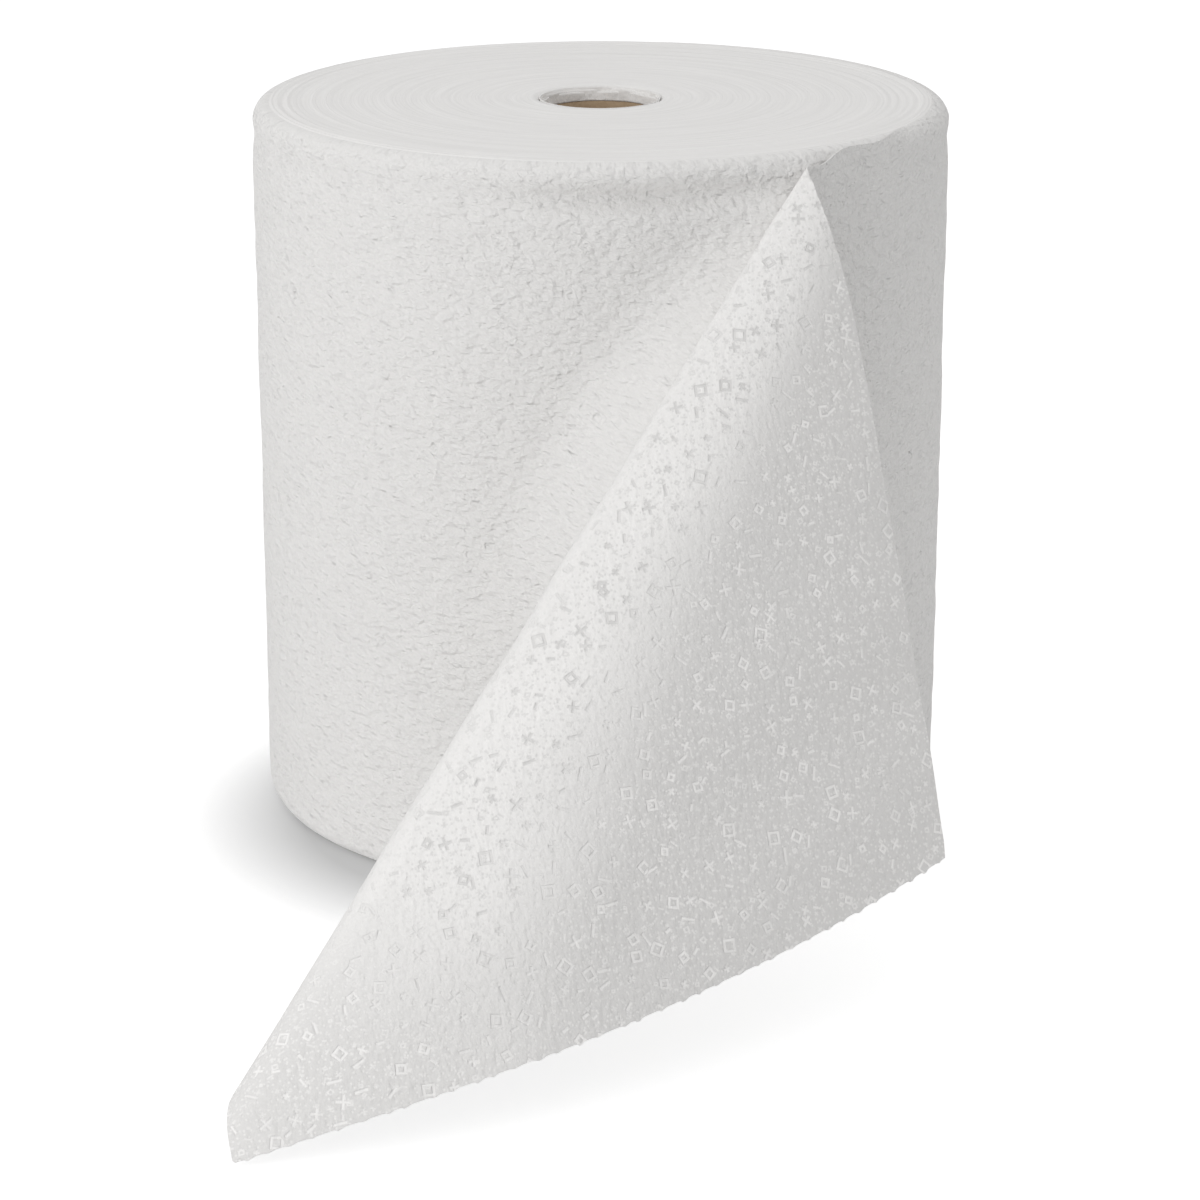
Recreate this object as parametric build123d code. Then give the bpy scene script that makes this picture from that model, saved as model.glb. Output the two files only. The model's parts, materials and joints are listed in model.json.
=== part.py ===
from build123d import *
from math import atan2, cos, degrees, hypot, radians, sin
import os

# Wound roll: it stands on its end, with its axis along Z and its base at z = 0
roll_diameter = 310
web_width = 320
rim_rounding = 4.5
rim_facets = 3
bore_bevel = 1.5

# Card core: flush with the base, short of the top face, held by the innermost turn
core_bore_diameter = 49
core_wall = 2.5
core_recess = 6.5
core_clearance = 0.1

# Rings of turns that stand apart a little on both end faces
ring_count = 7
ring_width = 1.8
ring_depth = 0.7

# Web of the loose end, which lies a little into the wound body where it leaves it
web_thickness = 0.4
web_embed = 0.3

# Last turn: its sharp edge stands out of the rounded rim this far back round the roll
wrapped_angle = 130

# Standing web: where it leaves the roll, from the front to the right, and its lower edge's rise and length
departure_angle = 47
lift_angle = 2.5
standing_length = 354.5

# Diagonal fold: its rulings meet above the web's top edge, and it curls round a slim cone, then a wider one
fold_apex_rise = 49.5
curl_cone_angle = 1.9
curl_turn = 112
curl_steps = 14
bend_cone_angle = 18
bend_turn = 37

# Flap past the fold: bent round a wide cone, and torn off along a line that is slanted and bowed
flap_cone_angle = 61
loose_length = 377
tear_slant = 61
tear_bow = 11
tab_pitch = 9
tab_depth = 2
corner_share = 0.1

# One overrun for all cuts
overrun = 1

roll_radius = roll_diameter / 2
core_inner_radius = core_bore_diameter / 2
core_outer_radius = core_inner_radius + core_wall
bore_radius = core_outer_radius + core_clearance


def plan_direction(angle):
    """Level direction at an angle from the front, -Y, towards the right, +X."""
    return Vector(sin(radians(angle)), -cos(radians(angle)), 0)


# Axes of the standing web: out of its face, along it away from the roll, and across it
up = Vector(0, 0, 1)
web_normal = plan_direction(departure_angle)
web_run = web_normal.cross(up)
web_along = web_run * cos(radians(lift_angle)) + up * sin(radians(lift_angle))
web_across = up * cos(radians(lift_angle)) - web_run * sin(radians(lift_angle))
web_foot = web_normal * (roll_radius - web_embed)

# Flat web, measured from the fold's apex: down to the web's two edges
down_to_top = fold_apex_rise
down_to_bottom = fold_apex_rise + web_width
fold_angle = degrees(atan2(standing_length, down_to_bottom))
fold_apex = web_foot + web_across * down_to_bottom
fold_direction = web_along * sin(radians(fold_angle)) - web_across * cos(radians(fold_angle))


def turned(vector, axis_direction, angle):
    """Vector turned about a direction, the way in which the web folds."""
    return vector.rotate(Axis((0, 0, 0), axis_direction), -angle)


def bent(direction, normal, cone_angle, flat_angle):
    """Ruling and normal after the web is bent round a cone by a flat angle."""
    cone_axis = direction * cos(radians(cone_angle)) + normal * sin(radians(cone_angle))
    turn = flat_angle / sin(radians(cone_angle))
    return turned(direction, cone_axis, turn), turned(normal, cone_axis, turn)


def ruling(flat_angle):
    """Direction and normal of the web's ruling at a flat angle past the start of the fold."""
    curl_span = curl_turn * sin(radians(curl_cone_angle))
    bend_span = bend_turn * sin(radians(bend_cone_angle))
    curl_angle = min(flat_angle, curl_span)
    bend_angle = min(flat_angle - curl_angle, bend_span)
    flap_angle = flat_angle - curl_angle - bend_angle
    direction, normal = bent(fold_direction, web_normal, curl_cone_angle, curl_angle)
    direction, normal = bent(direction, normal, bend_cone_angle, bend_angle)
    return bent(direction, normal, flap_cone_angle, flap_angle)


def web_section(along, down, notch=0):
    """Thin rectangle along one ruling, from the top edge to a flat point of the lower or torn edge."""
    angle = atan2(along, down)
    direction, normal = ruling(degrees(angle) - fold_angle)
    top = fold_apex + direction * (down_to_top / cos(angle))
    low = fold_apex + direction * (hypot(along, down) - notch)
    skin = normal * web_thickness
    return Wire.make_polygon([top, low, low + skin, top + skin], close=True)


def tear_along(share):
    """Flat length of the loose end at a share of its width, from the lower edge to the top edge."""
    centred = 2 * share - 1
    return loose_length - tear_slant / 2 * centred + tear_bow * (1 - centred**2)


def folded_end():
    """Curl and flap as one bent sheet, with small tabs along its torn edge."""
    step = (tear_along(0) - standing_length) / curl_steps
    curl_alongs = [standing_length + step * number for number in range(curl_steps + 1)]
    sections = [web_section(along, down_to_bottom) for along in curl_alongs]
    half_tabs = 2 * round(web_width / tab_pitch)
    for number in range(1, half_tabs):
        share = number / half_tabs
        notch = tab_depth * (number % 2)
        sections.append(web_section(tear_along(share), down_to_bottom - web_width * share, notch))
    last_share = 1 - corner_share / half_tabs
    sections.append(web_section(tear_along(last_share), down_to_bottom - web_width * last_share))
    return Solid.make_loft(sections, ruled=True)


def standing_web():
    """Flat web from the roll to the start of the fold."""
    fold_foot = fold_apex + fold_direction * (down_to_bottom / cos(radians(fold_angle)))
    fold_head = fold_apex + fold_direction * (down_to_top / cos(radians(fold_angle)))
    outline = Wire.make_polygon([web_foot, fold_foot, fold_head, web_foot + up * web_width], close=True)
    return extrude(Face(outline), amount=web_thickness, dir=web_normal)


def last_turn():
    """Part of the outermost turn, up to the line where the loose end leaves it."""
    inner_radius = roll_radius - web_embed
    front_angle = -90
    outer = Solid.make_cylinder(inner_radius + web_thickness, web_width, angle=wrapped_angle)
    inner = Solid.make_cylinder(inner_radius, web_width + 2 * overrun)
    shell = outer - Pos(0, 0, -overrun) * inner
    return Rot(0, 0, front_angle + departure_angle) * shell


def rim_points(height, into):
    """Points of a soft rim in a few facets, from the end face to the side."""
    points = []
    for number in range(rim_facets + 1):
        angle = radians(90 * number / rim_facets)
        outward = roll_radius - rim_rounding * (1 - sin(angle))
        along_side = rim_rounding * (1 - cos(angle))
        points.append((outward, height + into * along_side))
    return points


def face_with_rings(height, into):
    """Points of an end face from the bore to the side, dipping at each ring."""
    points = [(bore_radius, height + into * bore_bevel), (bore_radius + bore_bevel, height)]
    pitch = (roll_radius - bore_radius) / (ring_count + 1)
    for number in range(1, ring_count + 1):
        middle = bore_radius + pitch * number
        points.append((middle - ring_width / 2, height))
        points.append((middle, height + into * ring_depth))
        points.append((middle + ring_width / 2, height))
    return points + rim_points(height, into)


def wound_body():
    """All the turns as one ring, with soft rims and shallow rings on its end faces."""
    outline = face_with_rings(0, 1) + face_with_rings(web_width, -1)[::-1]
    profile = make_face(Polyline(*outline, close=True))
    return revolve(Plane.XZ * profile, Axis.Z)


def core_tube():
    """Card tube that the web is wound on."""
    length = web_width - core_recess
    base = (Align.CENTER, Align.CENTER, Align.MIN)
    tube = Cylinder(core_outer_radius, length, align=base)
    bore = Cylinder(core_inner_radius, length + 2 * overrun, align=base)
    return tube - Pos(0, 0, -overrun) * bore


def wipe_web():
    """The whole web: wound turns, last turn, standing web, fold and flap in one piece."""
    return wound_body() + last_turn() + standing_web() + folded_end()


os.makedirs("parts", exist_ok=True)
export_step(core_tube(), "parts/core_tube.step")
export_step(wipe_web(), "parts/wipe_web.step")
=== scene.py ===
import bpy
import json
import numpy as np
from math import atan2, cos, hypot, pi, radians, sin
from mathutils import Matrix, Vector


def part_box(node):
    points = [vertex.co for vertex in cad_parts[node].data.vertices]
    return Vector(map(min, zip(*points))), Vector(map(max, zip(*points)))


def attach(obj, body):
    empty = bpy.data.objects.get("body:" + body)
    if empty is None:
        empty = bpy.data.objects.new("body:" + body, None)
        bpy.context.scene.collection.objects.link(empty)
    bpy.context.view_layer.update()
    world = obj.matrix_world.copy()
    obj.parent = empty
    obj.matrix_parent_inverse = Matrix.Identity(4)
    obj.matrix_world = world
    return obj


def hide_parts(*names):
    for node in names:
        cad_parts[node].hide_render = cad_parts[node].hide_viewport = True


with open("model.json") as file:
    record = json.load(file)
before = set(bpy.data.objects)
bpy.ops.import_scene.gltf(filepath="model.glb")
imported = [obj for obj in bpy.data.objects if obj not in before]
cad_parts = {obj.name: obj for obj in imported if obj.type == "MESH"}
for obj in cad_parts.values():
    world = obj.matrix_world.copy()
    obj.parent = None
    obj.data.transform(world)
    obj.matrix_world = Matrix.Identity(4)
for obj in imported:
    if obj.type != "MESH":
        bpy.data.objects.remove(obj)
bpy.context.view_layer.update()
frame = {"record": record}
MM = 0.001

# Wound roll, as in the frame: the web's outer radius and width, and the core's bore and length
core_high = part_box("core_tube")[1]
core_mount = next(mount for mount in frame["record"]["mounts"] if mount["name"] == "core_bore")
roll_radius = 155 * MM
web_width = 320 * MM
core_inner_radius = core_mount["dims"]["r_mm"] * MM
core_outer_radius = core_high.x
core_length = core_high.z
core_clearance = 0.1 * MM
bore_radius = core_outer_radius + core_clearance

# Turns of the roll: rings of turns on the end faces, soft rims and an uneven side
columns_around = 380
side_rows = 64
upper_side_rows = 36
upper_side_run = 40 * MM
top_rings = 90
base_rings = 28
rim_rows = 12
bore_rows = 12
ring_crowding = 1.6
rim_rounding = 7.5 * MM
bore_bevel = 1.5 * MM
side_inset = 0.9 * MM
side_swell = 0.35 * MM
long_swell_share = 0.6
short_swell_share = 0.45
long_swell_height = 60 * MM
short_swell_height = 16 * MM
most_swell = 0.4 * MM
rim_swell = 0.3 * MM
rim_fade = 12 * MM
ring_swell = 0.09 * MM
edge_ring_swell = 0.26 * MM
edge_ring_fade = 1.2 * MM
ring_wobble_shares = (0.7, 0.5, 0.4)
most_wobble_share = 1.6
base_wobble_share = 0.5
most_rows = 400
seam_offset = radians(10)
groove_depth = 8 * MM
groove_below_top = 14.5 * MM
groove_width = 5 * MM
groove_middle = radians(6)
groove_reach = radians(28)
groove_least_share = 0.12
flank_height = 40 * MM
flank_clearance = 1.2 * MM
flank_back = 15 * MM
flank_spread = radians(14)
flank_low = 80 * MM
flank_high = 230 * MM
ridge_insets = (9.6 * MM, 11.9 * MM)
ridge_height = 0.5 * MM
ridge_width = 0.5 * MM
ridge_middle = radians(-40)
ridge_reach = radians(75)

# Loose innermost turns that stand above the core
inner_turn_count = 3
inner_turn_columns = 240
inner_turn_rows = 8
inner_turn_foot = 0.2 * MM
inner_turn_inset = 0.1 * MM
inner_turn_gap = 0.6 * MM
inner_turn_step = 1.1 * MM
inner_turn_lean = 1.4 * MM
inner_turn_wave = 0.55 * MM
inner_turn_sway = 0.15 * MM
inner_turn_out = 0.4 * MM
inner_turn_thickness = 0.35 * MM
first_turn_slack_share = 0.25
least_slack_share = 0.12
foot_wave_share = 0.3
head_wave_share = 1.2

# Loose end of the web, with the sizes of the frame's folded sheet
web_thickness = 0.4 * MM
web_embed = 0.3 * MM
wrapped_angle = radians(130)
departure_angle = radians(47)
lift_angle = radians(2.5)
standing_length = 354.5 * MM
fold_apex_rise = 49.5 * MM
curl_cone_angle = radians(1.9)
curl_turn = radians(112)
bend_cone_angle = radians(18)
bend_turn = radians(37)
flap_cone_angle = radians(61)
loose_length = 377 * MM
tear_slant = 61 * MM
tear_bow = 11 * MM
tab_pitch = 9 * MM
tab_depth = 1.3 * MM
tab_depth_shares = (0.45, 1)
tab_middle_shares = (0.3, 0.7)
tab_width_shares = (0.1, 0.19)
tip_dip = 6 * MM
tip_spread = 14 * MM
flap_tip_spread = 45 * MM
edge_wave = 0.25 * MM
edge_turns = 9
edge_length = 11.75 * MM
edge_bend = radians(85)
least_bend = radians(0.1)
edge_bend_run = 46 * MM
edge_sink = 0.68 * MM
last_turn_inset = 0.4 * MM
last_turn_fade = 25 * MM
last_turn_end = radians(14)
tuck = 0.6 * MM
tuck_end = radians(10)
tuck_lag_share = 0.4
sheet_rows = 104
edge_rows = 12
wrap_columns = 88
standing_columns = 40
curl_columns = 30
tab_columns = 8
sheet_wave = 0.7 * MM
sheet_wave_width = 120 * MM
sheet_wave_onset = 60 * MM
floor_clearance = 0.3 * MM

# Flat web, measured from the fold's apex: down to the web's two edges, and the fold's slant
down_to_top = fold_apex_rise
down_to_bottom = fold_apex_rise + web_width
fold_angle = atan2(standing_length, down_to_bottom)

# Web's surface: emboss, crinkle and fibres, in sizes on the flat web
motif_cell = 10 * MM
motif_small = 1.4 * MM
motif_large = 3.1 * MM
motif_half_stroke = 0.58 * MM
motif_scatter_share = 0.8
lozenge_stroke_share = 1.4
bar_share = 0.4
bar_and_plus_share = 0.75
speck_cell = 5.6 * MM
speck_small = 0.5 * MM
speck_large = 1.3 * MM
speck_half_stroke = 0.35 * MM
dot_cell = 2.6 * MM
dot_radius = 0.42 * MM
mark_blur = 0.55 * MM
mark_depth = 0.45 * MM
fine_mark_share = 0.75
fine_relief_share = 0.35
fibre_size = 1.3 * MM
fibre_depth = 0.3 * MM
fibre_relief_share = 0.5
mottle_shares = (0.3, 0.7)
mottle_dark_shares = (0.95, 0.93)
crease_size = 2.6 * MM
crease_depth = 1.7 * MM
fold_size = 4 * MM
fold_depth = 1.4 * MM
patch_size = 30 * MM
patch_shares = (0.35, 0.55)
patch_least_share = 0.55
crease_stretch_shares = (0.65, 1, 0)
speck_turn_shares = (1.07, 0.93, 0)
dot_turn_shares = (0.97, 1.05, 0)
# Painted light on the loose end's inner side: a lit band up to these angles past the fold, a shaded flap
# beyond it, painted shade along the fold's edge and towards the lower corner
painted_light_start = radians(6)
painted_light_end = radians(16)
painted_light_shift = radians(5)
painted_light_shift_start = 120 * MM
painted_light_shift_end = 300 * MM
painted_fold_shade_spread = radians(2.8)
painted_fold_shade_share = 0.9
painted_corner_shade_start = 390 * MM
painted_corner_shade_end = 510 * MM
painted_corner_shade_share = 0.95
cloth_roughness = 0.85
cloth_sheen = 0.15
surface_specular = 0.25
tint_shares = (1, 0.988, 0.974)

# Greys of each cloth before and past the fold, for its ground and its marks, and how strong its relief is.
# Only the inner side's pairs differ, and they are painted light: a pale ground with darker marks in the lit
# band along the fold, and a darker ground with paler marks on the shaded flap, where the paler marks paint
# light shining through the thin web
side_grounds = (0.868, 0.868)
side_marks = (0.873, 0.873)
side_crinkle_share = 1
side_relief_share = 0.45
inner_lit_and_shaded_grounds = (0.96, 0.81)
inner_lit_and_shaded_marks = (0.76, 0.98)
inner_crinkle_share = 0.35
inner_relief_share = 0.6
turn_grounds = (0.97, 0.97)
turn_marks = (0.97, 0.97)
turn_crinkle_share = 0.2
turn_relief_share = 0.2

# Cut edges of the turns on the end faces
end_roughness = 0.88
end_greys = (0.85, 0.925)
ring_line_size = 1.5 * MM
ring_line_depth = 0.6 * MM
ring_line_relief_share = 0.6
ring_waver_shares = (1.1, 1.1, 1.1)
end_fibre_size = 1.4 * MM
end_fibre_depth = 0.15 * MM
end_fibre_relief_share = 0.4

# Card core: its spiral seams, soft ends and pulp
core_columns = 200
core_rows = 60
seam_count = 2
seam_lead = 110 * MM
seam_width = 1.2 * MM
seam_depth = 0.25 * MM
core_end_softness = 0.4 * MM
card_roughness = 0.8
card_dark = (0.33, 0.23, 0.14, 1)
card_pale = (0.47, 0.35, 0.23, 1)
fleck_size = 1.2 * MM
fleck_depth = 0.12 * MM
fleck_share = 0.6
fleck_relief_share = 0.5
cloud_size = 14 * MM

# Camera at the viewing angle, and light
camera_place = Vector((0, -1.645, 0.622))
camera_tilt = radians(18.08)
camera_lens = 112
sensor_width = 36
sky_strength = 1.09
horizon_strength = 0.06
key_place = Vector((-1.45, -1.45, 0.8))
key_target = Vector((0, -0.05, 0.12))
key_size = 1.3
key_power = 13
fill_place = Vector((0.42, -0.2, 0.03))
fill_target = Vector((0.1, -0.11, 0.08))
fill_size = 0.25
fill_power = 0.075
floor_size = 14
floor_colour = (0.9, 0.9, 0.9, 1)
floor_seen_colour = (0.4, 0.4, 0.4, 1)
floor_lift = 0.8
# Painted shadow on the floor: its glow dims within a circle set off to the roll's front left
painted_shadow_place = Vector((-20 * MM, -48 * MM, 0))
painted_shadow_radius = 116 * MM
painted_shadow_reach = 60 * MM
painted_shadow_share = 0.25


# Smooth unevenness
def ripples(seed, count, low, high, tall):
    """Random waves round the roll: whole numbers of waves round it, and wave numbers along its height."""
    rng = np.random.default_rng(seed)
    around = rng.integers(low, high + 1, count)
    along = rng.uniform(-tall, tall, count)
    phase = rng.uniform(0, 2 * pi, count)
    return around, along, phase


def swell(angle, height, waves):
    """Sum of the waves at an angle and a height, about from -1 to 1."""
    total = np.zeros(np.broadcast(angle, height).shape)
    for around, along, phase in zip(*waves):
        total = total + np.cos(around * angle + along * height + phase)
    return total / np.sqrt(len(waves[0]))


def smooth_step(share):
    share = np.clip(share, 0, 1)
    return share * share * (3 - 2 * share)


# Meshes
def grid_faces(rows, columns, close_rows=False, close_columns=False, start=0, flip=False):
    """Quads of a grid whose points are numbered row by row."""
    row_index = np.arange(rows if close_rows else rows - 1)
    column_index = np.arange(columns if close_columns else columns - 1)
    row, column = np.meshgrid(row_index, column_index, indexing="ij")
    next_row = (row + 1) % rows
    next_column = (column + 1) % columns
    corners = [row * columns + column, row * columns + next_column]
    corners += [next_row * columns + next_column, next_row * columns + column]
    if flip:
        corners.reverse()
    return np.stack([corner.ravel() for corner in corners], axis=1) + start


def mark_sharp(mesh, pairs):
    """Marks the edges between the given pairs of points as sharp."""
    ends = np.empty(2 * len(mesh.edges), np.int32)
    mesh.edges.foreach_get("vertices", ends)
    count = len(mesh.vertices)
    every = np.sort(ends.reshape(-1, 2).astype(np.int64), axis=1) @ [count, 1]
    wanted = np.sort(pairs.astype(np.int64), axis=1) @ [count, 1]
    mesh.edges.foreach_set("use_edge_sharp", np.isin(every, wanted))


def new_piece(name, points, faces, materials, face_material=None, flat=None, sharp=None):
    """A mesh object from points, quads, materials and each point's or corner's place on the flat web."""
    mesh = bpy.data.meshes.new(name)
    mesh.from_pydata(points.tolist(), [], faces.tolist())
    for material in materials:
        mesh.materials.append(material)
    if face_material is not None:
        mesh.polygons.foreach_set("material_index", face_material.astype(np.int32))
    if flat is not None:
        domain = "CORNER" if flat.ndim == 3 else "POINT"
        layer = mesh.attributes.new("flat", "FLOAT_VECTOR", domain)
        layer.data.foreach_set("vector", flat.astype(np.float32).ravel())
    mesh.polygons.foreach_set("use_smooth", np.ones(len(mesh.polygons), bool))
    mesh.validate()
    mesh.update()
    if sharp is not None:
        mark_sharp(mesh, sharp)
    piece = bpy.data.objects.new(name, mesh)
    bpy.context.scene.collection.objects.link(piece)
    return piece


# Node helpers
def add_node(tree, kind, **settings):
    node = tree.nodes.new(kind)
    for key, value in settings.items():
        setattr(node, key, value)
    return node


def feed(tree, socket, value):
    """Links a socket to an input, or sets the input's own value."""
    if isinstance(value, bpy.types.NodeSocket):
        tree.links.new(value, socket)
    else:
        socket.default_value = value


def calc(tree, operation, first, second=None):
    node = add_node(tree, "ShaderNodeMath", operation=operation)
    for socket, value in zip(node.inputs, (first, second)):
        if value is not None:
            feed(tree, socket, value)
    return node.outputs[0]


def scaled(tree, vector, factors):
    node = add_node(tree, "ShaderNodeVectorMath", operation="MULTIPLY")
    feed(tree, node.inputs[0], vector)
    node.inputs[1].default_value = factors
    return node.outputs[0]


def noise(tree, vector, scale, detail, roughness=0.5):
    node = add_node(tree, "ShaderNodeTexNoise")
    feed(tree, node.inputs["Vector"], vector)
    node.inputs["Scale"].default_value = scale
    node.inputs["Detail"].default_value = detail
    node.inputs["Roughness"].default_value = roughness
    return node.outputs["Fac"]


def remap(tree, value, from_low, from_high, to_low, to_high):
    node = add_node(tree, "ShaderNodeMapRange", clamp=True)
    for name, setting in zip(("Value", "From Min", "From Max", "To Min", "To Max"),
                             (value, from_low, from_high, to_low, to_high)):
        feed(tree, node.inputs[name], setting)
    return node.outputs["Result"]


def bump(tree, height, distance, strength, below=None):
    node = add_node(tree, "ShaderNodeBump")
    feed(tree, node.inputs["Height"], height)
    node.inputs["Distance"].default_value = distance
    node.inputs["Strength"].default_value = strength
    if below is not None:
        feed(tree, node.inputs["Normal"], below)
    return node.outputs["Normal"]


def blend_colours(tree, share, first, second):
    node = add_node(tree, "ShaderNodeMix", data_type="RGBA")
    feed(tree, node.inputs["Factor"], share)
    feed(tree, node.inputs["A"], first)
    feed(tree, node.inputs["B"], second)
    return node.outputs["Result"]


def pick(tree, share, first, second):
    node = add_node(tree, "ShaderNodeMix")
    feed(tree, node.inputs[0], share)
    feed(tree, node.inputs[2], first)
    feed(tree, node.inputs[3], second)
    return node.outputs[0]


def new_material(name, roughness, sheen):
    material = bpy.data.materials.new(name)
    material.use_nodes = True
    shader = material.node_tree.nodes["Principled BSDF"]
    shader.inputs["Roughness"].default_value = roughness
    shader.inputs["Sheen Weight"].default_value = sheen
    shader.inputs["Specular IOR Level"].default_value = surface_specular
    return material, material.node_tree, shader


# Emboss: bars, plus signs and lozenges, one in each cell, turned at random
def motif_mask(tree, flat, cell, small, large, half_stroke):
    """1 on a motif and 0 beside it. Sizes are in metres on the flat web."""
    cells = add_node(tree, "ShaderNodeTexVoronoi", voronoi_dimensions="2D", feature="F1")
    feed(tree, cells.inputs["Vector"], flat)
    cells.inputs["Scale"].default_value = 1 / cell
    cells.inputs["Randomness"].default_value = motif_scatter_share
    offset = add_node(tree, "ShaderNodeVectorMath", operation="SUBTRACT")
    feed(tree, offset.inputs[0], flat)
    feed(tree, offset.inputs[1], cells.outputs["Position"])
    chance = add_node(tree, "ShaderNodeSeparateColor")
    feed(tree, chance.inputs[0], cells.outputs["Color"])
    turned = add_node(tree, "ShaderNodeVectorRotate", rotation_type="Z_AXIS")
    feed(tree, turned.inputs["Vector"], offset.outputs[0])
    feed(tree, turned.inputs["Angle"], calc(tree, "MULTIPLY", chance.outputs[0], 2 * pi))
    place = add_node(tree, "ShaderNodeSeparateXYZ")
    feed(tree, place.inputs[0], turned.outputs[0])
    across = calc(tree, "ABSOLUTE", place.outputs[0])
    along = calc(tree, "ABSOLUTE", place.outputs[1])
    reach = remap(tree, chance.outputs[2], 0, 1, small, large)
    past_side = calc(tree, "SUBTRACT", along, half_stroke)
    bar = calc(tree, "MAXIMUM", calc(tree, "SUBTRACT", across, reach), past_side)
    past_upright_side = calc(tree, "SUBTRACT", across, half_stroke)
    upright = calc(tree, "MAXIMUM", calc(tree, "SUBTRACT", along, reach), past_upright_side)
    plus = calc(tree, "MINIMUM", bar, upright)
    outline = calc(tree, "SUBTRACT", calc(tree, "ADD", across, along), reach)
    lozenge = calc(tree, "SUBTRACT", calc(tree, "ABSOLUTE", outline), lozenge_stroke_share * half_stroke)
    shape = pick(tree, calc(tree, "GREATER_THAN", chance.outputs[1], bar_share), bar, plus)
    shape = pick(tree, calc(tree, "GREATER_THAN", chance.outputs[1], bar_and_plus_share), shape, lozenge)
    return remap(tree, shape, -mark_blur / 2, mark_blur / 2, 1, 0)


def dot_mask(tree, flat):
    """1 on a small round dot and 0 beside it."""
    cells = add_node(tree, "ShaderNodeTexVoronoi", voronoi_dimensions="2D", feature="F1")
    feed(tree, cells.inputs["Vector"], flat)
    cells.inputs["Scale"].default_value = 1 / dot_cell
    near = calc(tree, "MULTIPLY", cells.outputs["Distance"], dot_cell)
    return remap(tree, near, dot_radius - mark_blur / 2, dot_radius + mark_blur / 2, 1, 0)


def grey(value):
    return tuple(share * value for share in tint_shares) + (1,)


def web_material(name, grounds, marks, crinkle, relief):
    """Nonwoven web. The flat place's third value blends each pair of greys from first to second; where a pair
    differs, this paints light and shade into the colour as a lit grey and a shaded grey.
    """
    material, tree, shader = new_material(name, cloth_roughness, cloth_sheen)
    attribute = add_node(tree, "ShaderNodeAttribute", attribute_name="flat").outputs["Vector"]
    flat = scaled(tree, attribute, (1, 1, 0))
    split = add_node(tree, "ShaderNodeSeparateXYZ")
    feed(tree, split.inputs[0], attribute)
    painted_light_share = split.outputs[2]
    large = motif_mask(tree, flat, motif_cell, motif_small, motif_large, motif_half_stroke)
    small = motif_mask(tree, scaled(tree, flat, speck_turn_shares), speck_cell, speck_small, speck_large,
                       speck_half_stroke)
    dots = dot_mask(tree, scaled(tree, flat, dot_turn_shares))
    fine = calc(tree, "MAXIMUM", small, dots)
    emboss = calc(tree, "MAXIMUM", large, calc(tree, "MULTIPLY", fine, fine_mark_share))
    patches = noise(tree, flat, 1 / patch_size, 2)
    shown = calc(tree, "MULTIPLY", emboss, remap(tree, patches, *patch_shares, patch_least_share, 1))
    fibres = noise(tree, flat, 1 / fibre_size, 4, 0.7)
    mottle = remap(tree, fibres, *mottle_shares, 0, 1)
    # The flat place's third value is a painted-light share: it blends each grey from its lit value to its
    # shaded value.
    dark_greys = [share * ground for share, ground in zip(mottle_dark_shares, grounds)]
    dark = blend_colours(tree, painted_light_share, grey(dark_greys[0]), grey(dark_greys[1]))
    pale = blend_colours(tree, painted_light_share, grey(grounds[0]), grey(grounds[1]))
    mark = blend_colours(tree, painted_light_share, grey(marks[0]), grey(marks[1]))
    ground = blend_colours(tree, mottle, dark, pale)
    feed(tree, shader.inputs["Base Color"], blend_colours(tree, shown, ground, mark))
    stretched = scaled(tree, attribute, crease_stretch_shares)
    normal = bump(tree, noise(tree, stretched, 1 / fold_size, 1), fold_depth, crinkle)
    normal = bump(tree, noise(tree, stretched, 1 / crease_size, 2), crease_depth, crinkle, normal)
    pressed = calc(tree, "MAXIMUM", large, calc(tree, "MULTIPLY", fine, fine_relief_share))
    normal = bump(tree, pressed, -mark_depth, relief, normal)
    normal = bump(tree, fibres, fibre_depth, fibre_relief_share, normal)
    feed(tree, shader.inputs["Normal"], normal)
    return material


def ends_material():
    """Cut edges of the turns: fine rings that waver a little round the roll."""
    material, tree, shader = new_material("web_cloth_ends", end_roughness, cloth_sheen)
    place = add_node(tree, "ShaderNodeTexCoord").outputs["Object"]
    level = scaled(tree, place, (1, 1, 0))
    size = add_node(tree, "ShaderNodeVectorMath", operation="LENGTH")
    feed(tree, size.inputs[0], level)
    direction = add_node(tree, "ShaderNodeVectorMath", operation="NORMALIZE")
    feed(tree, direction.inputs[0], level)
    slow = scaled(tree, direction.outputs[0], ring_waver_shares)
    split = add_node(tree, "ShaderNodeSeparateXYZ")
    feed(tree, split.inputs[0], slow)
    rings = add_node(tree, "ShaderNodeCombineXYZ")
    feed(tree, rings.inputs[0], calc(tree, "MULTIPLY", size.outputs["Value"], 1 / ring_line_size))
    feed(tree, rings.inputs[1], split.outputs[0])
    feed(tree, rings.inputs[2], split.outputs[1])
    lines = noise(tree, rings.outputs[0], 1, 3, 0.6)
    fibres = noise(tree, place, 1 / end_fibre_size, 3, 0.6)
    paleness = remap(tree, lines, *mottle_shares, 0, 1)
    dark = grey(end_greys[0])
    pale = grey(end_greys[1])
    feed(tree, shader.inputs["Base Color"], blend_colours(tree, paleness, dark, pale))
    normal = bump(tree, lines, ring_line_depth, ring_line_relief_share)
    normal = bump(tree, fibres, end_fibre_depth, end_fibre_relief_share, normal)
    feed(tree, shader.inputs["Normal"], normal)
    return material


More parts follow.
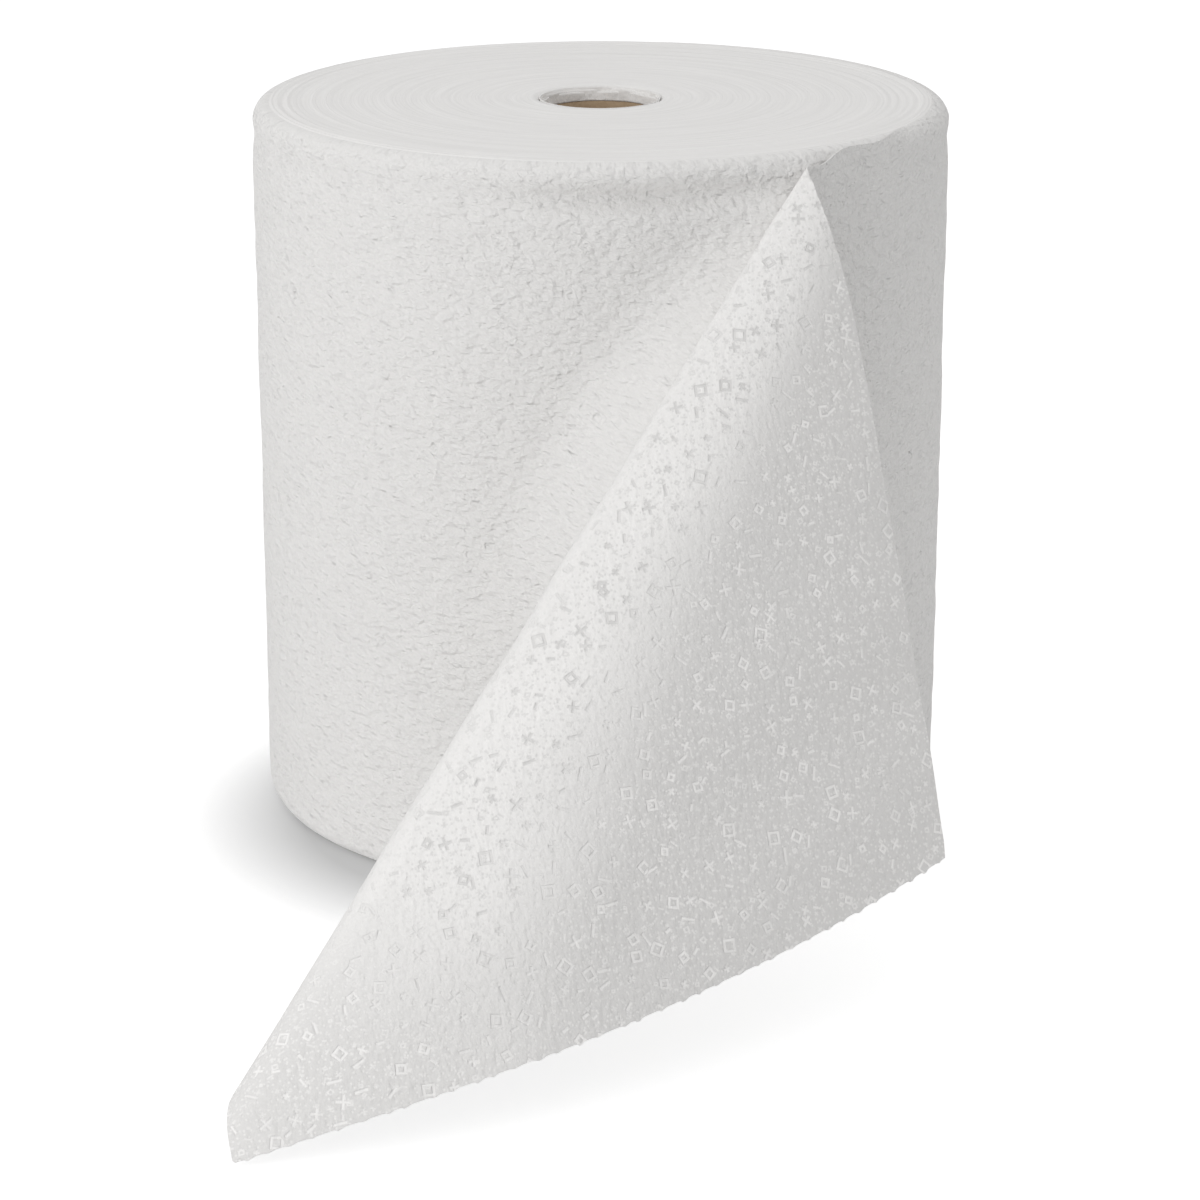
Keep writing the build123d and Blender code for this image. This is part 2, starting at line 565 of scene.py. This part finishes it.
def card_material():
    """Brown card with pulp flecks."""
    material, tree, shader = new_material("core_card", card_roughness, 0)
    place = add_node(tree, "ShaderNodeTexCoord").outputs["Object"]
    flecks = noise(tree, place, 1 / fleck_size, 5, 0.7)
    clouds = noise(tree, place, 1 / cloud_size, 2)
    cloud_part = calc(tree, "MULTIPLY", clouds, 1 - fleck_share)
    pulp = calc(tree, "ADD", calc(tree, "MULTIPLY", flecks, fleck_share), cloud_part)
    paleness = remap(tree, pulp, *mottle_shares, 0, 1)
    feed(tree, shader.inputs["Base Color"], blend_colours(tree, paleness, card_dark, card_pale))
    feed(tree, shader.inputs["Normal"], bump(tree, flecks, fleck_depth, fleck_relief_share))
    return material


# Roll of turns: one closed mesh, a loop of profile points carried round the axis
long_waves = ripples(11, 14, 2, 9, 2 * pi / long_swell_height)
short_waves = ripples(12, 40, 14, 70, 2 * pi / short_swell_height)
rim_waves = ripples(13, 18, 3, 26, 0)


def around_angles():
    """Angles from the front towards the right, from a seam that the last turn covers."""
    return departure_angle + seam_offset + np.arange(columns_around) * 2 * pi / columns_around


def plan(angle):
    return np.stack([np.sin(angle), -np.cos(angle)], axis=-1)


def roll_profile():
    """Profile points as radius, height, and which surface they lie on."""
    rows = []
    for share in np.linspace(0, 1, bore_rows):
        rows.append((bore_radius, bore_bevel + share * (web_width - 2 * bore_bevel), "bore"))
    inner_flat = bore_radius + bore_bevel
    outer_flat = roll_radius - side_inset - rim_rounding
    for share in 1 - np.linspace(1, 0, top_rings) ** ring_crowding:
        rows.append((inner_flat + share * (outer_flat - inner_flat), web_width, "top"))
    for turn in np.linspace(0, pi / 2, rim_rows + 2)[1:-1]:
        below_top = rim_rounding * (1 - cos(turn))
        rows.append((outer_flat + rim_rounding * sin(turn), web_width - below_top, "top_rim"))
    side_run = web_width - 2 * rim_rounding
    upper_runs = np.linspace(0, upper_side_run, upper_side_rows, endpoint=False)
    for run in np.concatenate([upper_runs, np.linspace(upper_side_run, side_run, side_rows)]):
        rows.append((outer_flat + rim_rounding, web_width - rim_rounding - run, "side"))
    for turn in np.linspace(pi / 2, 0, rim_rows + 2)[1:-1]:
        rows.append((outer_flat + rim_rounding * sin(turn), rim_rounding * (1 - cos(turn)), "base_rim"))
    for share in np.linspace(1, 0, base_rings):
        rows.append((inner_flat + share * (outer_flat - inner_flat), 0, "base"))
    return rows


def side_relief(angle, height):
    """How far the side stands out of its mean radius: soft swells, and a groove below the rim."""
    relief = long_swell_share * swell(angle, height, long_waves)
    relief = side_swell * (relief + short_swell_share * swell(angle, height, short_waves))
    relief = most_swell * np.tanh(relief / most_swell)
    groove = np.exp(-((web_width - groove_below_top - height) / groove_width) ** 2)
    from_middle = np.abs((angle - groove_middle + pi) % (2 * pi) - pi)
    deeper = smooth_step(1 - from_middle / groove_reach)
    groove = groove * (groove_least_share + (1 - groove_least_share) * deeper)
    fade = smooth_step(np.minimum(height, web_width - height) / rim_fade)
    return fade * relief - groove_depth * groove


def flank(angle, height):
    """How far the outer turn rises off the side towards the fold of the loose end."""
    fold_run = (down_to_bottom - height) * standing_length / down_to_bottom
    at_ridge = np.arctan((fold_run - flank_back) / roll_radius)
    before = (departure_angle - angle + pi) % (2 * pi) - pi
    reached = np.clip(before, 0, at_ridge)
    gap = np.maximum(roll_radius / np.cos(reached) - roll_radius - flank_clearance, 0)
    rise = np.clip(1 - (before - at_ridge) / flank_spread, 0, 1) ** 2
    fade = smooth_step((height - flank_low) / (flank_high - flank_low))
    return fade * rise * flank_height * np.tanh(gap / flank_height)


def ridges(angle, radius):
    """Height of the few outer turns that stand out of the top face, mostly at the front left."""
    from_middle = np.abs((angle - ridge_middle + pi) % (2 * pi) - pi)
    strength = ridge_height * smooth_step(1 - from_middle / ridge_reach)
    middles = [roll_radius - inset for inset in ridge_insets]
    return strength * sum(np.exp(-((middle - radius) / ridge_width) ** 2) for middle in middles)


def under_last_turn(angle):
    """1 where the last turn lies over the side and 0 elsewhere."""
    back = (angle - departure_angle + pi) % (2 * pi) - pi
    return smooth_step(back / tuck_end + 1) * smooth_step((wrapped_angle - back) / tuck_end - tuck_lag_share)


def build_roll(materials):
    """All the turns as one closed mesh. The flat place is kept for each corner, for a clean seam."""
    angle = around_angles()
    rng = np.random.default_rng(21)
    points, flat, kinds = [], [], []
    ring_phase = rng.uniform(0, 2 * pi, (2, most_rows))
    ring_height = rng.normal(0, 1, most_rows)
    for number, (radius, height, kind) in enumerate(roll_profile()):
        around = np.full(columns_around, radius)
        level = np.full(columns_around, height)
        rim_share = smooth_step((radius - bore_radius) / (roll_radius - bore_radius))
        if kind in ("top", "base"):
            outward_share = 1 if kind == "top" else -base_wobble_share
            amount = ring_swell + (edge_ring_swell - ring_swell) * rim_share**3
            amount = amount * smooth_step((roll_radius - side_inset - rim_rounding - radius) / edge_ring_fade)
            wobble = ring_wobble_shares[0] * ring_height[number]
            wobble = wobble + ring_wobble_shares[1] * np.cos(2 * angle + ring_phase[0, number])
            wobble = wobble + ring_wobble_shares[2] * np.cos(3 * angle + ring_phase[1, number])
            level = level + outward_share * amount * np.clip(wobble, -most_wobble_share, most_wobble_share)
            if kind == "top":
                level = level + ridges(angle, radius)
            if kind == "base":
                level = np.maximum(level, 0)
        if kind in ("top_rim", "base_rim", "side"):
            fade = smooth_step(min(height, web_width - height) / rim_fade)
            around = around + (1 - fade) * rim_swell * np.tanh(swell(angle, 0, rim_waves))
            around = around + side_relief(angle, height) - tuck * under_last_turn(angle)
            around = around + flank(angle, height)
        points.append(np.concatenate([plan(angle) * around[:, None], level[:, None]], axis=1))
        run = -roll_radius * (angle - departure_angle)
        flat.append(np.stack([run, level, np.zeros(columns_around)], axis=1))
        kinds.append(kind)
    rows = len(points)
    faces = grid_faces(rows, columns_around, close_rows=True, close_columns=True)
    on_end = np.array([kind in ("top", "base", "bore") for kind in kinds])
    face_material = np.repeat(on_end & np.roll(on_end, -1), columns_around)
    corner_flat = np.concatenate(flat)[faces]
    in_seam = np.arange(len(faces)) % columns_around == columns_around - 1
    past_seam = in_seam[:, None] & (faces % columns_around == 0)
    corner_flat[..., 0] -= 2 * pi * roll_radius * past_seam
    return new_piece("wound_turns", np.concatenate(points), faces, materials, face_material, corner_flat)


def build_inner_turns(material):
    """Innermost turns, slack and wavy, between the core's top and the top face."""
    angle = np.arange(inner_turn_columns) * 2 * pi / inner_turn_columns
    points, faces, flat = [], [], []
    start = 0
    for number in range(inner_turn_count):
        waves = ripples(31 + number, 10, 3, 15, 0)
        sway = ripples(41 + number, 6, 2, 9, 0)
        mean = bore_radius - inner_turn_inset - number * inner_turn_gap
        foot = core_length + inner_turn_foot
        head = web_width - inner_turn_inset - number * inner_turn_step
        slack = least_slack_share + (1 - least_slack_share) * smooth_step((1 - np.cos(angle)) / 2)
        if number == 0:
            slack = slack * first_turn_slack_share
        shells = []
        for share in np.linspace(0, 1, inner_turn_rows):
            wave_share = foot_wave_share + (head_wave_share - foot_wave_share) * share
            lean = inner_turn_wave * slack * wave_share * swell(angle, 0, waves)
            lean = lean - inner_turn_lean * (1 - share) * (1 - number / inner_turn_count)
            around = np.minimum(mean + lean, bore_radius + inner_turn_out)
            level = foot + share * (head - foot + inner_turn_sway * slack * swell(angle, 0, sway))
            shells.append((around, level))
        loop = shells + [(around - inner_turn_thickness, level) for around, level in reversed(shells)]
        for around, level in loop:
            points.append(np.stack([np.sin(angle) * around, -np.cos(angle) * around, level], axis=1))
            flat.append(np.stack([angle * bore_radius, level + number * web_width, 0 * angle], axis=1))
        faces.append(grid_faces(len(loop), inner_turn_columns, True, True, start))
        start += len(loop) * inner_turn_columns
    return new_piece("inner_turns", np.concatenate(points), np.concatenate(faces), [material], None,
                     np.concatenate(flat))


# Loose end: the frame's folded sheet with finer steps, soft waves and a ragged torn edge
up = Vector((0, 0, 1))
web_normal = Vector((sin(departure_angle), -cos(departure_angle), 0))
web_run = web_normal.cross(up)
web_along = web_run * cos(lift_angle) + up * sin(lift_angle)
web_across = up * cos(lift_angle) - web_run * sin(lift_angle)
web_foot = web_normal * (roll_radius - web_embed)
fold_apex = web_foot + web_across * down_to_bottom
fold_direction = web_along * sin(fold_angle) - web_across * cos(fold_angle)


def bent(direction, normal, cone_angle, flat_angle):
    """Ruling and normal after the web is bent round a cone by a flat angle."""
    cone_axis = direction * cos(cone_angle) + normal * sin(cone_angle)
    turn = Matrix.Rotation(-flat_angle / sin(cone_angle), 3, cone_axis)
    return turn @ direction, turn @ normal


def ruling(flat_angle):
    """Direction and normal of the web's ruling at a flat angle past the start of the fold."""
    curl_angle = min(flat_angle, curl_turn * sin(curl_cone_angle))
    bend_angle = min(flat_angle - curl_angle, bend_turn * sin(bend_cone_angle))
    flap_angle = flat_angle - curl_angle - bend_angle
    direction, normal = bent(fold_direction, web_normal, curl_cone_angle, curl_angle)
    direction, normal = bent(direction, normal, bend_cone_angle, bend_angle)
    return bent(direction, normal, flap_cone_angle, flap_angle)


def tear_along(share):
    """Flat length of the loose end at a share of its width, from the lower edge to the top edge."""
    centred = 2 * share - 1
    return loose_length - tear_slant / 2 * centred + tear_bow * (1 - centred**2)


def top_edge_dip(run):
    """How far the web's top edge dips, at a flat distance along it from the roll."""
    fold_run = down_to_top * sin(fold_angle) / cos(fold_angle)
    spread = tip_spread if run < fold_run else flap_tip_spread
    return tip_dip * np.exp(-((run - fold_run) / spread) ** 2)


edge_share = edge_length / web_width
sheet_shares = np.concatenate([np.linspace(0, edge_share, edge_rows, endpoint=False),
                               np.linspace(edge_share, 1, sheet_rows - edge_rows)])


def sheet_column(top, low, normal, top_flat, low_flat):
    """Points, normals and flat places from the top edge to the lower or torn edge."""
    shares = sheet_shares[:, None]
    points = np.array(top) + shares * (np.array(low) - np.array(top))
    flats = np.array(top_flat) + shares * (np.array(low_flat) - np.array(top_flat))
    return points, np.tile(np.array(normal), (sheet_rows, 1)), flats


def wrapped_column(back):
    """Column of the last turn, at an angle back from where it leaves the roll. Its edges follow the rims."""
    angle = departure_angle + back
    run = roll_radius * back
    bent_share = smooth_step(run / edge_bend_run)
    bend = edge_bend * bent_share + least_bend
    below_top = sheet_shares * web_width
    turn = bend * np.clip(1 - below_top / edge_length, 0, 1)
    straight_height = web_width - edge_length + bent_share * (edge_length - rim_rounding - edge_sink)
    straight_share = np.minimum((web_width - below_top) / (web_width - edge_length), 1)
    height = straight_height * straight_share + edge_length / bend * np.sin(turn)
    around = roll_radius - web_embed - edge_length / bend * (1 - np.cos(turn))
    below_rim = np.clip(rim_rounding - height, 0, rim_rounding)
    around = around - bent_share * (rim_rounding - np.sqrt(rim_rounding**2 - below_rim**2))
    loose = smooth_step(run / last_turn_fade)
    around = around + loose * (side_relief(angle, height) - last_turn_inset)
    around = around - 2 * side_inset * (1 - smooth_step((wrapped_angle - back) / last_turn_end))
    outward = np.array([sin(angle), -cos(angle), 0])
    points = around[:, None] * outward + height[:, None] * np.array(up)
    normals = np.cos(turn)[:, None] * outward + np.sin(turn)[:, None] * np.array(up)
    return points, normals, np.stack([np.full(sheet_rows, -run), web_width - below_top], axis=1)


def wrapped_columns():
    return [wrapped_column(wrapped_angle * number / wrap_columns) for number in range(wrap_columns, 0, -1)]


def standing_columns_of_web():
    fold_foot = fold_apex + fold_direction * (down_to_bottom / cos(fold_angle))
    fold_head = fold_apex + fold_direction * (down_to_top / cos(fold_angle))
    web_head = web_foot + up * web_width
    columns = []
    for number in range(standing_columns):
        share = number / standing_columns
        top = web_head.lerp(fold_head, share)
        low = web_foot.lerp(fold_foot, share)
        top_run = share * down_to_top * sin(fold_angle) / cos(fold_angle)
        dip = top_edge_dip(top_run)
        top = top - web_across * dip
        top_flat = (top_run, web_width - dip)
        columns.append(sheet_column(top, low, web_normal, top_flat, (share * standing_length, 0)))
    return columns


edge_waves = ripples(71, 10, 2, 16, 0)


def ruled_column(along, down, notch=0):
    angle = atan2(along, down)
    direction, normal = ruling(angle - fold_angle)
    top_reach = (down_to_top + top_edge_dip(down_to_top * sin(angle) / cos(angle))) / cos(angle)
    top_reach = top_reach + edge_wave * float(swell(edge_turns * (angle - fold_angle), 0, edge_waves))
    low_reach = hypot(along, down) - notch
    top_flat = (top_reach * sin(angle), down_to_bottom - top_reach * cos(angle))
    low_flat = (low_reach * sin(angle), down_to_bottom - low_reach * cos(angle))
    top = fold_apex + direction * top_reach
    low = fold_apex + direction * low_reach
    return sheet_column(top, low, normal, top_flat, low_flat)


def folded_columns():
    rng = np.random.default_rng(51)
    columns = []
    corner = tear_along(0)
    for number in range(curl_columns):
        share = number / curl_columns
        columns.append(ruled_column(standing_length + share * (corner - standing_length), down_to_bottom))
    tabs = round(web_width / tab_pitch)
    depths = tab_depth * rng.uniform(*tab_depth_shares, tabs)
    middles = rng.uniform(*tab_middle_shares, tabs)
    widths = rng.uniform(*tab_width_shares, tabs)
    steps = tabs * tab_columns
    for number in range(steps):
        share = number / steps
        tab, place = divmod(number, tab_columns)
        nub = np.exp(-((place / tab_columns - middles[tab]) / widths[tab]) ** 2)
        notch = tab_depth - depths[tab] * nub
        columns.append(ruled_column(tear_along(share), down_to_bottom - web_width * share, notch))
    return columns


def build_sheet(materials):
    columns = wrapped_columns() + standing_columns_of_web() + folded_columns()
    points = np.stack([column[0] for column in columns], axis=1)
    normals = np.stack([column[1] for column in columns], axis=1)
    flats = np.stack([column[2] for column in columns], axis=1)
    run, across = flats[..., 0], flats[..., 1]
    waves = ripples(61, 16, 1, 6, 2 * pi / sheet_wave_width)
    past_fold = (run - standing_length * (web_width - across) / web_width) / sheet_wave_onset
    lift = sheet_wave * smooth_step(past_fold) * swell(run * 2 * pi / loose_length, across, waves)
    points = points + normals * lift[..., None]
    points[..., 2] = np.maximum(points[..., 2], floor_clearance)
    outer = points + normals * web_thickness
    count = points.shape[0] * points.shape[1]
    rows, wide = points.shape[:2]
    inner_faces = grid_faces(rows, wide, flip=True)
    outer_faces = grid_faces(rows, wide, start=count)
    last_row = (rows - 1) * wide + np.arange(wide - 2, -1, -1)
    loop = np.concatenate([np.arange(wide), np.arange(1, rows) * wide + wide - 1,
                           last_row, np.arange(rows - 2, 0, -1) * wide])
    after = np.roll(loop, -1)
    rim_faces = np.stack([loop, after, after + count, loop + count], axis=1)
    faces = np.concatenate([inner_faces, outer_faces, rim_faces])
    face_material = np.concatenate([np.ones(len(inner_faces)), np.zeros(len(outer_faces) + len(rim_faces))])
    everything = np.concatenate([points.reshape(-1, 3), outer.reshape(-1, 3)])
    # Painted-light share on the loose end: 0 in the lit band a little past the fold, rising to 1 on the
    # shaded flap
    past_fold_angle = np.arctan2(run, down_to_bottom - across) - fold_angle
    from_apex = np.hypot(run, down_to_bottom - across)
    shift = painted_light_shift * (1 - smooth_step((from_apex - painted_light_shift_start) / (painted_light_shift_end - painted_light_shift_start)))
    painted_light_share = smooth_step((past_fold_angle - shift - painted_light_start) / (painted_light_end - painted_light_start))
    # Painted shade along the fold's edge
    painted_light_share = np.maximum(painted_light_share, painted_fold_shade_share * np.exp(-(past_fold_angle / painted_fold_shade_spread) ** 2))
    # Painted shade towards the flap's lower corner
    painted_corner_shade_mask = smooth_step((from_apex - painted_corner_shade_start) / (painted_corner_shade_end - painted_corner_shade_start))
    painted_light_share = np.maximum(painted_light_share, painted_corner_shade_share * painted_corner_shade_mask * (past_fold_angle > 0))
    flat = np.concatenate([np.stack([run, across, painted_light_share], axis=-1).reshape(-1, 3)] * 2)
    rim = np.stack([loop, after], axis=1)
    sharp = np.concatenate([rim, rim + count])
    return new_piece("loose_sheet", everything, faces, materials, face_material, flat, sharp)


def build_core(material):
    """Card tube with spiral seams and soft ends."""
    angle = np.arange(core_columns) * 2 * pi / core_columns
    heights = np.linspace(0, core_length, core_rows)
    loop = []
    for radius, inward, levels in ((core_inner_radius, 1, heights), (core_outer_radius, -1, heights[::-1])):
        for level in levels:
            turn = angle * seam_count / (2 * pi) - level / seam_lead * seam_count
            offset = np.abs((turn + 0.5) % 1 - 0.5) * seam_lead / seam_count
            seam = seam_depth * np.exp(-(offset / seam_width) ** 2)
            end = core_end_softness * (level in (heights[0], heights[-1]))
            around = radius + inward * (seam + end)
            levels_around = np.full(core_columns, level)
            loop.append(np.stack([np.sin(angle) * around, -np.cos(angle) * around, levels_around], axis=1))
    faces = grid_faces(len(loop), core_columns, True, True, flip=True)
    return new_piece("card_core", np.concatenate(loop), faces, [material])


# Stage: white floor and sky for the camera, plain light for the object, and a painted shadow on the floor
# round the roll's base
def build_floor():
    material = bpy.data.materials.new("floor")
    material.use_nodes = True
    tree = material.node_tree
    tree.nodes.clear()
    output = add_node(tree, "ShaderNodeOutputMaterial")
    diffuse = add_node(tree, "ShaderNodeBsdfDiffuse")
    glow = add_node(tree, "ShaderNodeEmission")
    glow.inputs["Color"].default_value = (1, 1, 1, 1)
    path = add_node(tree, "ShaderNodeLightPath")
    seen = calc(tree, "MAXIMUM", path.outputs["Is Camera Ray"], path.outputs["Is Glossy Ray"])
    seen = calc(tree, "MAXIMUM", seen, path.outputs["Is Transmission Ray"])
    feed(tree, diffuse.inputs["Color"], blend_colours(tree, seen, floor_colour, floor_seen_colour))
    # Painted shadow: the floor's glow is dimmed near the roll's base and rises with distance from a point at
    # its front left
    place = add_node(tree, "ShaderNodeTexCoord").outputs["Object"]
    away = add_node(tree, "ShaderNodeVectorMath", operation="DISTANCE")
    feed(tree, away.inputs[0], place)
    away.inputs[1].default_value = painted_shadow_place
    painted_shadow_end = painted_shadow_radius + painted_shadow_reach
    painted_shadow_lift = painted_shadow_share * floor_lift
    lift = remap(tree, away.outputs["Value"], painted_shadow_radius, painted_shadow_end, painted_shadow_lift, floor_lift)
    feed(tree, glow.inputs["Strength"], calc(tree, "MULTIPLY", seen, lift))
    both = add_node(tree, "ShaderNodeAddShader")
    feed(tree, both.inputs[0], diffuse.outputs[0])
    feed(tree, both.inputs[1], glow.outputs[0])
    feed(tree, output.inputs["Surface"], both.outputs[0])
    half = floor_size / 2
    corners = np.array([(-half, -half, 0), (half, -half, 0), (half, half, 0), (-half, half, 0)])
    floor = new_piece("floor", corners, np.array([[0, 1, 2, 3]]), [material])


def build_sky():
    world = bpy.data.worlds.new("sky")
    bpy.context.scene.world = world
    world.use_nodes = True
    tree = world.node_tree
    background = tree.nodes["Background"]
    background.inputs["Color"].default_value = (1, 1, 1, 1)
    place = add_node(tree, "ShaderNodeTexCoord").outputs["Generated"]
    split = add_node(tree, "ShaderNodeSeparateXYZ")
    feed(tree, split.inputs[0], place)
    light = remap(tree, split.outputs[2], 0, 1, horizon_strength, sky_strength)
    path = add_node(tree, "ShaderNodeLightPath")
    seen = calc(tree, "MAXIMUM", path.outputs["Is Camera Ray"], path.outputs["Is Glossy Ray"])
    seen = calc(tree, "MAXIMUM", seen, path.outputs["Is Transmission Ray"])
    feed(tree, background.inputs["Strength"], remap(tree, seen, 0, 1, light, 1))


def add_softbox(name, place, target, size, power):
    data = bpy.data.lights.new(name, "AREA")
    data.shape = "SQUARE"
    data.size = size
    data.energy = power
    lamp = bpy.data.objects.new(name, data)
    lamp.location = place
    lamp.rotation_euler = (target - place).to_track_quat("-Z", "Y").to_euler()
    bpy.context.scene.collection.objects.link(lamp)


def add_camera():
    data = bpy.data.cameras.new("camera")
    data.lens = camera_lens
    data.sensor_width = sensor_width
    camera = bpy.data.objects.new("camera", data)
    camera.location = camera_place
    camera.rotation_euler = (pi / 2 - camera_tilt, 0, 0)
    bpy.context.scene.collection.objects.link(camera)
    bpy.context.scene.camera = camera


side_cloth = web_material("web_cloth_side", side_grounds, side_marks, side_crinkle_share, side_relief_share)
inner_cloth = web_material("web_cloth_inner", inner_lit_and_shaded_grounds, inner_lit_and_shaded_marks, inner_crinkle_share,
                           inner_relief_share)
turn_cloth = web_material("web_cloth_turns", turn_grounds, turn_marks, turn_crinkle_share, turn_relief_share)
end_cloth = ends_material()
card = card_material()

roll = build_roll([side_cloth, end_cloth])
inner_turns = build_inner_turns(turn_cloth)
sheet = build_sheet([side_cloth, inner_cloth])
core = build_core(card)
for piece in (roll, inner_turns, sheet):
    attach(piece, "root")
    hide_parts("wipe_web")
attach(core, "root")
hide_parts("core_tube")

build_floor()
build_sky()
add_softbox("key", key_place, key_target, key_size, key_power)
add_softbox("fill", fill_place, fill_target, fill_size, fill_power)
add_camera()
bpy.context.scene.view_settings.view_transform = "Standard"
